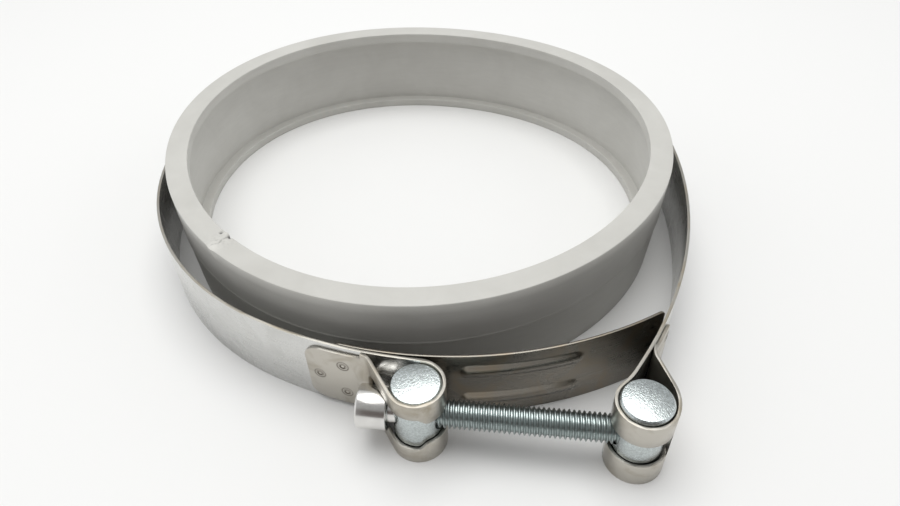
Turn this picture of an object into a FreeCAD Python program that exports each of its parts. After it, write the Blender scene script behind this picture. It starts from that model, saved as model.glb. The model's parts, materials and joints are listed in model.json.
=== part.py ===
"""V band clamp: a closed rubber liner channel standing loose inside a steel band closed by a trunnion bolt.

Frame: millimetres, +Z up, origin on the liner's axis in the plane that the clamp lies on.
The bolt and its two trunnions are at the front (-Y), the bolt's head points left (-X).
"""
import FreeCAD
import Part
import math
import os

import Sketcher

Vector = FreeCAD.Vector
Rotation = FreeCAD.Rotation
Placement = FreeCAD.Placement

# Driving dimensions: alias, millimetres or degrees, what it is.
SIZES = [
    ("liner_radius", 105.0, "outer radius of the liner's top edge"),
    ("liner_tall", 42.1, "height of the liner"),
    ("liner_wall", 4.6, "thickness of the liner's wall at its top, between the lips"),
    ("liner_lip_deep", 4.2, "how far the lips stand in from the wall"),
    ("liner_top_lip", 4.7, "thickness of the top lip"),
    ("liner_bottom_lip", 3.8, "thickness of the bottom lip"),
    ("liner_crease_drop", 18.5, "depth of the crease in the outer wall below the top"),
    ("liner_crease_inset", 0.9, "how far the wall leans in from the top down to the crease"),
    ("liner_foot_inset", 2.6, "how far the wall leans in from the top down to the bottom"),
    ("liner_edge", 0.6, "rounding of the liner's edges"),
    ("band_wide", 30.0, "width of the band strip"),
    ("band_thick", 1.0, "thickness of the band strip"),
    ("side_play", 5.8, "gap between the liner and the band round the back"),
    ("side_shift", 1.5, "how far the band's back arc is moved to the right of the liner"),
    ("left_flatter", 58.7, "how much larger the front left stretch's radius is than the back's"),
    ("bolt_slope", 8.0, "how far the bolt's axis turns from +X towards the front, degrees"),
    ("bolt_level", 15.3, "height of the bolt's axis"),
    ("trunnion_right", 1.7, "X of the plain trunnion"),
    ("trunnion_ahead", 14.0, "how far the plain trunnion's axis is outside the band's back circle"),
    ("trunnion_spacing", 69.8, "distance between the trunnions' axes"),
    ("trunnion_radius", 8.2, "radius of both trunnion barrels"),
    ("plain_tall", 29.6, "height of the plain trunnion"),
    ("threaded_tall", 31.5, "height of the threaded trunnion"),
    ("trunnion_bevel", 0.6, "chamfer of the trunnions' ends"),
    ("plain_loop_play", 0.25, "gap between the plain trunnion and its loop"),
    ("threaded_loop_play", 0.5, "gap between the threaded trunnion and its loop, centred"),
    ("threaded_loop_shift", 0.2, "how far that loop is off its trunnion to the right and back"),
    ("plain_leg_turn", 62.5, "slope of the plain loop's front leg towards the front, degrees"),
    ("plain_leg_bend", 5.0, "middle radius of the bend between that leg and its tab"),
    ("left_tab_long", 18.9, "length of the left tab"),
    ("inner_leg_turn", 127.3, "heading of the strip down to the threaded loop, degrees"),
    ("inner_leg_long", 4.0, "length of that leg's straight run"),
    ("inner_leg_offset", 7.9, "distance of that leg's middle from the loop's centre"),
    ("inner_leg_bend", 20.0, "middle radius of the bend that leads that leg into the loop"),
    ("loop_swell_radius", 15.5, "middle radius of the threaded loop's slack right side"),
    ("outer_leg_turn", 103.2, "heading of the strip back up from the threaded loop, degrees"),
    ("outer_leg_offset", 10.8, "distance of that leg's middle from the loop's centre"),
    ("outer_leg_bend", 6.5, "middle radius of the bend between that leg and its tab"),
    ("right_tab_long", 15.0, "length of the right tab"),
    ("tab_inset", 2.0, "how much narrower a tab is at each edge"),
    ("tab_corner", 5.0, "corner radius of a tab's free end"),
    ("weld_gap", 0.15, "gap between a tab and the strip under it"),
    ("weld_radius", 1.6, "radius of a spot weld's nugget"),
    ("weld_bite", 0.3, "how deep a nugget goes into each strip"),
    ("weld_end_inset", 6.0, "distance of the single left weld from the tab's end"),
    ("weld_pair_inset", 14.5, "distance of the paired left welds from the tab's end"),
    ("weld_right_inset", 5.5, "distance of the right welds from the tab's end"),
    ("weld_spread", 6.9, "how far the paired welds are above and below the middle"),
    ("head_slot_tall", 16.2, "height of the slot that the bolt's head passes through"),
    ("thread_slot_tall", 11.0, "height of the slots that the bolt's thread passes through"),
    ("slot_corner", 4.0, "corner radius of the slots"),
    ("slot_spare", 4.5, "how far a slot's cut runs past what it frees"),
    ("slot_wall", 0.6, "depth of the loop's back that the head's slot leaves whole"),
    ("head_slot_past", 3.0, "how far right of the plain trunnion's axis the head's slot ends"),
    ("thread_slot_back", 5.2, "how far behind the bolt's axis the thread's slots reach"),
    ("threaded_slot_past", 8.9, "how far right of the threaded trunnion's axis its slot ends"),
    ("bolt_radius", 4.75, "outer radius of the bolt's thread"),
    ("bolt_end_inset", 2.0, "how far the bolt's end is inside the threaded trunnion's far side"),
    ("bolt_end_bevel", 0.9, "chamfer of the bolt's end"),
    ("head_radius", 7.25, "radius of the bolt's head"),
    ("head_long", 10.0, "length of the bolt's head"),
    ("head_gap", 1.2, "bare shank between the head and the plain trunnion"),
    ("head_bevel", 0.8, "chamfer of the head's free end"),
    ("socket_flats", 7.94, "width across the flats of the hex socket"),
    ("socket_deep", 5.5, "depth of the hex socket"),
    ("shank_play", 0.4, "radial clearance of the bolt in the plain trunnion"),
    ("thread_play", 0.05, "radial clearance of the bolt in the threaded trunnion"),
    ("bridge_thick", 0.9, "thickness of the bridge plate"),
    ("bridge_gap", 0.12, "gap between the bridge plate and the band"),
    ("bridge_before", 27.4, "how far left of the plain trunnion's axis the bridge plate ends"),
    ("bridge_tip_gap", 0.5, "gap between the bridge plate's free end and the band"),
    ("bridge_flatter", 25.7, "how much larger the bridge plate's radius is than the band's back"),
    ("bridge_touch", 32.7, "how far left of the plain trunnion's axis its arc touches the band"),
    ("bridge_corner", 6.0, "corner radius of the bridge plate's free end"),
    ("rib_begin", 15.3, "how far right of the plain trunnion's axis the ribs start"),
    ("rib_finish", 52.3, "how far right of the plain trunnion's axis the ribs end"),
    ("rib_wide", 3.6, "width of a rib"),
    ("rib_proud", 0.9, "height of a rib over the plate"),
    ("rib_bite", 0.2, "how deep a rib's base goes into the plate"),
    ("rib_upper_level", 22.5, "height of the upper rib"),
    ("rib_lower_level", 9.0, "height of the lower rib"),
]

doc = FreeCAD.newDocument("VBandClamp")
sheet = doc.addObject("Spreadsheet::Sheet", "Sizes")
for row, (alias, value, meaning) in enumerate(SIZES, start=1):
    sheet.set("A%d" % row, meaning)
    sheet.set("B%d" % row, "%g" % value)
    sheet.setAlias("B%d" % row, alias)
doc.recompute()


def size(alias):
    """The value of one cell of the sheet."""
    return float(getattr(sheet, alias))


def work_out(alias, value, meaning):
    """Add a place that follows from the driving dimensions to the sheet, for sketches to read."""
    row = len(SIZES) + 2 + len(worked_out)
    worked_out.append(alias)
    sheet.set("A%d" % row, meaning)
    sheet.set("B%d" % row, "%.9g" % value)
    sheet.setAlias("B%d" % row, alias)
    sheet.recompute()
    return value


worked_out = []


# ---------------------------------------------------------------- plane geometry

def heading_vector(degrees):
    """The unit vector that points along a heading in the XY plane."""
    return Vector(math.cos(math.radians(degrees)), math.sin(math.radians(degrees)), 0)


def left_of(vector):
    """The vector turned a quarter to the left."""
    return Vector(-vector.y, vector.x, 0)


def angle_of(vector):
    """The heading of a vector, in radians."""
    return math.atan2(vector.y, vector.x)


def circles_meet(centre_a, reach_a, centre_b, reach_b, side):
    """The point at the two given distances from two centres, on one side (+1 left) of a to b."""
    along = centre_b - centre_a
    apart = along.Length
    forward = (reach_a ** 2 - reach_b ** 2 + apart ** 2) / (2 * apart)
    across = math.sqrt(reach_a ** 2 - forward ** 2)
    unit = along.normalize()
    return centre_a + unit * forward + left_of(unit) * (across * side)


def on_circle_at_reach(centre, reach, normal, level, side):
    """The point at a distance from a centre whose product with the unit normal is level."""
    forward = level - centre.dot(normal)
    across = math.sqrt(reach ** 2 - forward ** 2)
    return centre + normal * forward + left_of(normal) * (across * side)


class Arc:
    """An arc of a strip's middle line, travelled to the left (+1) or to the right (-1)."""

    def __init__(self, centre, radius, turn):
        self.centre = centre
        self.radius = radius
        self.turn = turn

    def touch(self, other):
        """Where this arc runs tangentially into the next element."""
        if isinstance(other, Line):
            return self.centre - left_of(other.heading) * (self.radius * self.turn)
        towards = other.centre - self.centre
        if self.turn == other.turn and self.radius < other.radius:
            towards = towards * -1
        return self.centre + towards.normalize() * self.radius


class Line:
    """A straight run of a strip's middle line with a given heading."""

    def __init__(self, degrees):
        self.heading = heading_vector(degrees)

    def touch(self, other):
        """Where this run goes tangentially into the next arc."""
        return other.centre - left_of(self.heading) * (other.radius * other.turn)


def chain_points(elements, start, end):
    """The ends of every element: the given start and end, and the tangent points between them."""
    joints = [a.touch(b) for a, b in zip(elements, elements[1:])]
    return [start] + joints + [end]


# ---------------------------------------------------------------- feature helpers

def new_body(label, placement=Placement()):
    body = doc.addObject("PartDesign::Body", label)
    body.Label = label
    body.Placement = placement
    return body


def plane_of(body, role):
    return next(feature for feature in body.Origin.OriginFeatures if feature.Role == role)


def new_sketch(body, name, role, offset=Placement()):
    sketch = body.newObject("Sketcher::SketchObject", name)
    sketch.AttachmentSupport = [(plane_of(body, role), "")]
    sketch.MapMode = "FlatFace"
    sketch.AttachmentOffset = offset
    return sketch


def bind(sketch, constraint, name, expression):
    """Add a dimension to a sketch and bind it to the sheet."""
    index = sketch.addConstraint(constraint)
    sketch.renameConstraint(index, name)
    sketch.setExpression("Constraints." + name, expression)


def point_from_origin(sketch, geo, pos, name, point, x_expression=None, y_expression=None):
    """Fix a sketch point by its distances from the sketch's origin, each given as a positive number."""
    for kind, value, expression in (("DistanceX", point.x, x_expression), ("DistanceY", point.y, y_expression)):
        if expression is None:
            continue
        ends = (-1, 1, geo, pos) if value >= 0 else (geo, pos, -1, 1)
        bind(sketch, Sketcher.Constraint(kind, *ends, abs(value)), name + kind[-1], expression)


def draw_chain(sketch, elements, points):
    """Draw a chain of tangent arcs and lines; return each element's geometry number and end numbers."""
    drawn = []
    for element, start, end in zip(elements, points, points[1:]):
        if isinstance(element, Line):
            geo = sketch.addGeometry(Part.LineSegment(start, end), False)
            drawn.append((geo, 1, 2))
            continue
        first, last = (start, end) if element.turn > 0 else (end, start)
        begin = angle_of(first - element.centre)
        finish = angle_of(last - element.centre)
        if finish < begin:
            finish += 2 * math.pi
        circle = Part.Circle(element.centre, Vector(0, 0, 1), element.radius)
        geo = sketch.addGeometry(Part.ArcOfCircle(circle, begin, finish), False)
        drawn.append((geo, 1, 2) if element.turn > 0 else (geo, 2, 1))
    for (geo_a, _, end_a), (geo_b, start_b, _) in zip(drawn, drawn[1:]):
        sketch.addConstraint(Sketcher.Constraint("Tangent", geo_a, end_a, geo_b, start_b))
    return [geo for geo, _, _ in drawn]


def polygon(sketch, corners):
    """Draw a closed outline of straight lines."""
    count = len(corners)
    geos = []
    for index, corner in enumerate(corners):
        geos.append(sketch.addGeometry(Part.LineSegment(corner, corners[(index + 1) % count]), False))
    for index in range(count):
        sketch.addConstraint(Sketcher.Constraint("Coincident", geos[index], 2, geos[(index + 1) % count], 1))
    return geos


def rectangle(sketch, low, high, names, expressions):
    """Draw an upright rectangle from corner low to corner high and bind its four distances."""
    corners = [Vector(low.x, low.y), Vector(high.x, low.y), Vector(high.x, high.y), Vector(low.x, high.y)]
    geos = polygon(sketch, corners)
    for index, kind in enumerate(("Horizontal", "Vertical", "Horizontal", "Vertical")):
        sketch.addConstraint(Sketcher.Constraint(kind, geos[index]))
    point_from_origin(sketch, geos[0], 1, names + "Low", corners[0], expressions[0], expressions[1])
    point_from_origin(sketch, geos[2], 1, names + "High", corners[2], expressions[2], expressions[3])
    return geos


def swept_strip(body, spine, start, heading, thick, wide, name):
    """Sweep a strip's upright section, thick across the path and wide up from the ground."""
    across = Rotation(left_of(heading), Vector(0, 0, 1), heading, "ZXY")
    profile = new_sketch(body, name + "Section", "XY_Plane", Placement(start, across))
    half = size(thick) / 2
    rectangle(profile, Vector(-half, 0), Vector(half, size(wide)), name,
              ("Sizes.%s / 2" % thick, None, "Sizes.%s / 2" % thick, "Sizes." + wide))
    profile.addConstraint(Sketcher.Constraint("PointOnObject", 0, 1, -1))
    pipe = body.newObject("PartDesign::AdditivePipe", name)
    pipe.Profile = profile
    pipe.Spine = spine
    pipe.Mode = "Standard"
    return pipe


def cut_pocket(body, sketch, name, length, reverse):
    """Cut a pocket and check that it takes something away."""
    doc.recompute()
    before = body.Shape.Volume
    pocket = body.newObject("PartDesign::Pocket", name)
    pocket.Profile = sketch
    pocket.Type = "Length"
    pocket.setExpression("Length", length)
    pocket.Reversed = reverse
    doc.recompute()
    if body.Shape.Volume >= before - 1:
        raise RuntimeError(name + " cuts nothing")
    return pocket


def dress_edges(body, kind, name, edges, dimension, alias):
    """Round or bevel the named edges of a body by a size from the sheet."""
    base = body.Tip
    dressing = body.newObject(kind, name)
    dressing.Base = (base, edges)
    dressing.setExpression(dimension, "Sizes." + alias)
    doc.recompute()
    if "Invalid" in dressing.State:
        raise RuntimeError(name + " failed")


def edges_where(body, test):
    """The names of the body's edges that pass a test."""
    return ["Edge%d" % index for index, edge in enumerate(body.Shape.Edges, start=1) if test(edge)]


# ---------------------------------------------------------------- the pieces' places

half_band = size("band_thick") / 2
tab_lift = size("band_thick") + size("weld_gap")
side_radius = work_out("side_radius", size("liner_radius") + size("side_play") + half_band,
                       "middle radius of the band round the back")
left_radius = work_out("left_radius", side_radius + size("left_flatter"),
                       "middle radius of the band's front left stretch")
bridge_radius = work_out("bridge_radius", side_radius + size("bridge_flatter"),
                         "middle radius of the bridge plate")

bolt_heading = heading_vector(-size("bolt_slope"))
plain_axis = Vector(size("trunnion_right"), -work_out("trunnion_front", side_radius + size("trunnion_ahead"),
                                                      "how far the plain trunnion is in front of the origin"), 0)
threaded_axis = plain_axis + bolt_heading * size("trunnion_spacing")
bolt_turn = Rotation(Vector(0, 0, 1), -size("bolt_slope"))


def sketch_across_bolt(body, name, axis, along):
    """A sketch square to the bolt, at a distance along it from an axis; its x points to the back."""
    place = axis + bolt_heading * along
    return new_sketch(body, name, "YZ_Plane",
                      Placement(Vector(place.y, 0, place.x), Rotation(Vector(0, 1, 0), -size("bolt_slope"))))


# ---------------------------------------------------------------- the band's middle line

side_centre = Vector(size("side_shift"), 0, 0)

plain_loop = Arc(plain_axis, size("trunnion_radius") + size("plain_loop_play") + half_band, 1)
left_centre = circles_meet(side_centre, left_radius - side_radius,
                           plain_axis, left_radius + plain_loop.radius, 1)
left_arc = Arc(left_centre, left_radius, -1)
side_arc = Arc(side_centre, side_radius, -1)

plain_leg = Line(-size("plain_leg_turn"))
plain_leg_left = left_of(plain_leg.heading)
plain_leg_level = plain_leg_left.dot(plain_axis) - plain_loop.radius
left_tab = Arc(left_centre, left_radius + tab_lift, 1)
plain_bend = Arc(on_circle_at_reach(left_centre, left_tab.radius + size("plain_leg_bend"), plain_leg_left,
                                    plain_leg_level - size("plain_leg_bend"), -1),
                 size("plain_leg_bend"), -1)

threaded_loop = Arc(threaded_axis + Vector(1, 1, 0) * size("threaded_loop_shift"),
                    size("trunnion_radius") + size("threaded_loop_play") + half_band, 1)
inner_leg = Line(-size("inner_leg_turn"))
inner_leg_left = left_of(inner_leg.heading)
inner_leg_level = inner_leg_left.dot(threaded_loop.centre) - size("inner_leg_offset")
inner_bend = Arc(on_circle_at_reach(threaded_loop.centre, size("inner_leg_bend") + threaded_loop.radius,
                                    inner_leg_left, inner_leg_level - size("inner_leg_bend"), 1),
                 size("inner_leg_bend"), -1)
inner_leg_start = inner_leg.touch(inner_bend) - inner_leg.heading * size("inner_leg_long")
from_side = inner_leg_start - side_centre
right_radius = work_out("right_radius", (from_side.dot(from_side) - side_radius ** 2)
                        / (2 * (from_side.dot(inner_leg_left) - side_radius)),
                        "middle radius of the band's right stretch, which runs into both of its neighbours")
right_centre = inner_leg_start - inner_leg_left * right_radius
right_arc = Arc(right_centre, right_radius, -1)

outer_leg = Line(size("outer_leg_turn"))
outer_leg_left = left_of(outer_leg.heading)
outer_leg_level = outer_leg_left.dot(threaded_loop.centre) - size("outer_leg_offset")
swell = Arc(on_circle_at_reach(threaded_loop.centre, size("loop_swell_radius") - threaded_loop.radius,
                               outer_leg_left, outer_leg_level + size("loop_swell_radius"), -1),
            size("loop_swell_radius"), 1)
right_tab = Arc(right_centre, right_radius + tab_lift, 1)
outer_bend = Arc(on_circle_at_reach(right_centre, right_tab.radius + size("outer_leg_bend"), outer_leg_left,
                                    outer_leg_level - size("outer_leg_bend"), 1),
                 size("outer_leg_bend"), -1)


def front_point(arc, across):
    """The point of an arc's circle at a given X, on its front side."""
    return Vector(across, arc.centre.y - math.sqrt(arc.radius ** 2 - (across - arc.centre.x) ** 2), 0)


def along_arc(arc, point, length):
    """The point a length further along an arc's circle, to the left if positive."""
    heading = angle_of(point - arc.centre) + length / arc.radius
    return arc.centre + heading_vector(math.degrees(heading)) * arc.radius


def sector(sketch, centre, inner, outer, begin, finish):
    """Draw a closed outline between two radii and two headings (radians) about a centre."""
    up = Vector(0, 0, 1)
    inner_arc = sketch.addGeometry(Part.ArcOfCircle(Part.Circle(centre, up, inner), begin, finish), False)
    outer_arc = sketch.addGeometry(Part.ArcOfCircle(Part.Circle(centre, up, outer), begin, finish), False)
    for end, heading in ((1, begin), (2, finish)):
        ray = Vector(math.cos(heading), math.sin(heading), 0)
        side = sketch.addGeometry(Part.LineSegment(centre + ray * inner, centre + ray * outer), False)
        sketch.addConstraint(Sketcher.Constraint("Coincident", side, 1, inner_arc, end))
        sketch.addConstraint(Sketcher.Constraint("Coincident", side, 2, outer_arc, end))
    sketch.addConstraint(Sketcher.Constraint("Coincident", inner_arc, 3, outer_arc, 3))


def narrow_tab(body, name, tab, tip, shoulder):
    """Cut both long edges of a tab back, from its tip to where its bend begins."""
    begin, finish = sorted((angle_of(tip - tab.centre), angle_of(shoulder - tab.centre)))
    spare = 0.02
    begin, finish = (begin - spare, finish) if tip.x < shoulder.x else (begin, finish + spare)
    inner = tab.radius - half_band - size("weld_gap") / 2
    for edge, level in (("Lower", "0"), ("Upper", "Sizes.band_wide - Sizes.tab_inset")):
        sketch = new_sketch(body, name + edge + "Outline", "XY_Plane")
        sketch.setExpression("AttachmentOffset.Base.z", level)
        sector(sketch, tab.centre, inner, tab.radius + 2 * size("band_thick"), begin, finish)
        cut_pocket(body, sketch, name + edge + "Edge", "Sizes.tab_inset", True)


def weld(body, name, tab, foot, level):
    """One spot weld's nugget, between a tab and the strip under it."""
    out = (foot - tab.centre).normalize()
    depth = half_band + size("weld_gap") + size("weld_bite")
    nugget = body.newObject("PartDesign::AdditiveCylinder", name)
    nugget.Placement = Placement(foot - out * depth + Vector(0, 0, level), Rotation(Vector(0, 0, 1), out))
    nugget.setExpression("Radius", "Sizes.weld_radius")
    nugget.setExpression("Height", "Sizes.weld_gap + 2 * Sizes.weld_bite")


def cut_slot(body, name, axis, begin, end, back, tall):
    """Cut a slot of rounded ends along the bolt, from begin to end, open to the front and out to back."""
    sketch = sketch_across_bolt(body, name + "Outline", axis, begin)
    reach = 2 * size("trunnion_radius")
    corner = size("slot_corner")
    low = size("bolt_level") - size(tall) / 2
    high = size("bolt_level") + size(tall) / 2
    up = Vector(0, 0, 1)
    quarter = math.pi / 2
    lower = sketch.addGeometry(Part.LineSegment(Vector(-reach, low), Vector(back - corner, low)), False)
    low_arc = sketch.addGeometry(Part.ArcOfCircle(Part.Circle(Vector(back - corner, low + corner), up, corner),
                                                  -quarter, 0), False)
    end_line = sketch.addGeometry(Part.LineSegment(Vector(back, low + corner), Vector(back, high - corner)), False)
    high_arc = sketch.addGeometry(Part.ArcOfCircle(Part.Circle(Vector(back - corner, high - corner), up, corner),
                                                   0, quarter), False)
    upper = sketch.addGeometry(Part.LineSegment(Vector(back - corner, high), Vector(-reach, high)), False)
    front = sketch.addGeometry(Part.LineSegment(Vector(-reach, high), Vector(-reach, low)), False)
    for first, second in ((lower, low_arc), (low_arc, end_line), (end_line, high_arc), (high_arc, upper)):
        sketch.addConstraint(Sketcher.Constraint("Tangent", first, 2, second, 1))
    sketch.addConstraint(Sketcher.Constraint("Coincident", upper, 2, front, 1))
    sketch.addConstraint(Sketcher.Constraint("Coincident", front, 2, lower, 1))
    sketch.addConstraint(Sketcher.Constraint("Horizontal", lower))
    sketch.addConstraint(Sketcher.Constraint("Horizontal", upper))
    sketch.addConstraint(Sketcher.Constraint("Vertical", end_line))
    sketch.addConstraint(Sketcher.Constraint("Vertical", front))
    bind(sketch, Sketcher.Constraint("Radius", low_arc, corner), "LowCorner", "Sizes.slot_corner")
    bind(sketch, Sketcher.Constraint("Radius", high_arc, corner), "HighCorner", "Sizes.slot_corner")
    bind(sketch, Sketcher.Constraint("DistanceY", -1, 1, lower, 1, low), "Low",
         "Sizes.bolt_level - Sizes.%s / 2" % tall)
    bind(sketch, Sketcher.Constraint("DistanceY", -1, 1, upper, 1, high), "High",
         "Sizes.bolt_level + Sizes.%s / 2" % tall)
    cut_pocket(body, sketch, name, "%g" % (end - begin), True)


def make_band():
    """One steel strip: round the liner, both ends folded back round a trunnion and spot welded."""
    body = new_body("band")
    elements = [left_tab, plain_bend, plain_leg, plain_loop, left_arc, side_arc, right_arc,
                inner_leg, inner_bend, threaded_loop, swell, outer_leg, outer_bend, right_tab]
    start = along_arc(left_tab, left_tab.touch(plain_bend), -size("left_tab_long"))
    end = along_arc(right_tab, outer_bend.touch(right_tab), size("right_tab_long"))
    work_out("left_tab_end", -start.x, "how far left of the origin the left tab ends")
    work_out("right_tab_end", end.x, "how far right of the origin the right tab ends")
    points = chain_points(elements, start, end)
    spine = new_sketch(body, "BandLine", "XY_Plane")
    (tab_a, bend_a, leg_a, loop_a, arc_left, arc_side, arc_right,
     leg_b, bend_b, loop_b, arc_swell, leg_c, bend_c, tab_b) = draw_chain(spine, elements, points)
    radii = [
        ("LeftTab", tab_a, left_tab, "Sizes.left_radius + Sizes.band_thick + Sizes.weld_gap"),
        ("PlainBend", bend_a, plain_bend, "Sizes.plain_leg_bend"),
        ("PlainLoop", loop_a, plain_loop,
         "Sizes.trunnion_radius + Sizes.plain_loop_play + Sizes.band_thick / 2"),
        ("LeftArc", arc_left, left_arc, "Sizes.left_radius"),
        ("SideArc", arc_side, side_arc, "Sizes.side_radius"),
        ("RightArc", arc_right, right_arc, "Sizes.right_radius"),
        ("InnerBend", bend_b, inner_bend, "Sizes.inner_leg_bend"),
        ("ThreadedLoop", loop_b, threaded_loop,
         "Sizes.trunnion_radius + Sizes.threaded_loop_play + Sizes.band_thick / 2"),
        ("Swell", arc_swell, swell, "Sizes.loop_swell_radius"),
        ("OuterBend", bend_c, outer_bend, "Sizes.outer_leg_bend"),
        ("RightTab", tab_b, right_tab, "Sizes.right_radius + Sizes.band_thick + Sizes.weld_gap"),
    ]
    for name, geo, arc, expression in radii:
        bind(spine, Sketcher.Constraint("Radius", geo, arc.radius), name + "Radius", expression)
    spine.addConstraint(Sketcher.Constraint("Coincident", tab_a, 3, arc_left, 3))
    spine.addConstraint(Sketcher.Constraint("Coincident", tab_b, 3, arc_right, 3))
    spine.addConstraint(Sketcher.Constraint("PointOnObject", arc_side, 3, -1))
    point_from_origin(spine, arc_side, 3, "Side", side_centre, "Sizes.side_shift")
    point_from_origin(spine, loop_a, 3, "PlainLoop", plain_axis, "Sizes.trunnion_right", "Sizes.trunnion_front")
    point_from_origin(spine, loop_b, 3, "ThreadedLoop", threaded_loop.centre,
                      "Sizes.trunnion_right + Sizes.trunnion_spacing * cos(Sizes.bolt_slope * 1deg)"
                      " + Sizes.threaded_loop_shift",
                      "Sizes.trunnion_front + Sizes.trunnion_spacing * sin(Sizes.bolt_slope * 1deg)"
                      " - Sizes.threaded_loop_shift")
    bind(spine, Sketcher.Constraint("Distance", loop_b, 3, leg_b, size("inner_leg_offset")), "InnerLegOffset",
         "Sizes.inner_leg_offset")
    bind(spine, Sketcher.Constraint("Distance", loop_b, 3, leg_c, size("outer_leg_offset")), "OuterLegOffset",
         "Sizes.outer_leg_offset")
    for name, geo, line, expression in (("PlainLeg", leg_a, plain_leg, "-Sizes.plain_leg_turn * 1deg"),
                                        ("InnerLeg", leg_b, inner_leg, "-Sizes.inner_leg_turn * 1deg"),
                                        ("OuterLeg", leg_c, outer_leg, "Sizes.outer_leg_turn * 1deg")):
        bind(spine, Sketcher.Constraint("Angle", geo, angle_of(line.heading)), name + "Heading", expression)
    point_from_origin(spine, tab_a, 1, "LeftTip", start, "Sizes.left_tab_end")
    point_from_origin(spine, tab_b, 2, "RightTip", end, "Sizes.right_tab_end")
    heading = left_of((start - left_tab.centre).normalize())
    swept_strip(body, spine, start, heading, "band_thick", "band_wide", "BandStrip")
    doc.recompute()

    narrow_tab(body, "LeftTab", left_tab, points[0], points[1])
    narrow_tab(body, "RightTab", right_tab, points[-1], points[-2])

    def at_tip(edge):
        middle = edge.CenterOfMass
        reach = min((middle - Vector(tip.x, tip.y, middle.z)).Length for tip in (start, end))
        return reach < half_band and abs(edge.Length - size("band_thick")) < half_band / 2

    corners = edges_where(body, at_tip)
    dress_edges(body, "PartDesign::Fillet", "TabCorners", corners, "Radius", "tab_corner")

    middle_level = size("band_wide") / 2
    left_end = along_arc(left_tab, start, size("weld_end_inset"))
    left_pair = along_arc(left_tab, start, size("weld_pair_inset"))
    right_pair = along_arc(right_tab, end, -size("weld_right_inset"))
    weld(body, "LeftWeldEnd", left_tab, left_end, middle_level)
    for name, side in (("Upper", 1), ("Lower", -1)):
        level = middle_level + side * size("weld_spread")
        weld(body, "LeftWeld" + name, left_tab, left_pair, level)
        weld(body, "RightWeld" + name, right_tab, right_pair, level)

    loop_reach = size("trunnion_radius") + size("plain_loop_play")
    spare = size("slot_spare")
    head_far = size("trunnion_radius") + size("head_gap") + size("head_long") + spare
    cut_slot(body, "HeadSlot", plain_axis, -head_far, size("head_slot_past"), loop_reach - size("slot_wall"),
             "head_slot_tall")
    cut_slot(body, "PlainThreadSlot", plain_axis, size("head_slot_past") - size("slot_wall"), loop_reach + spare,
             size("thread_slot_back"), "thread_slot_tall")
    cut_slot(body, "ThreadedSlot", threaded_axis, -loop_reach - spare, size("threaded_slot_past"),
             size("thread_slot_back"), "thread_slot_tall")
    return body


# ---------------------------------------------------------------- the other pieces

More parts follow.
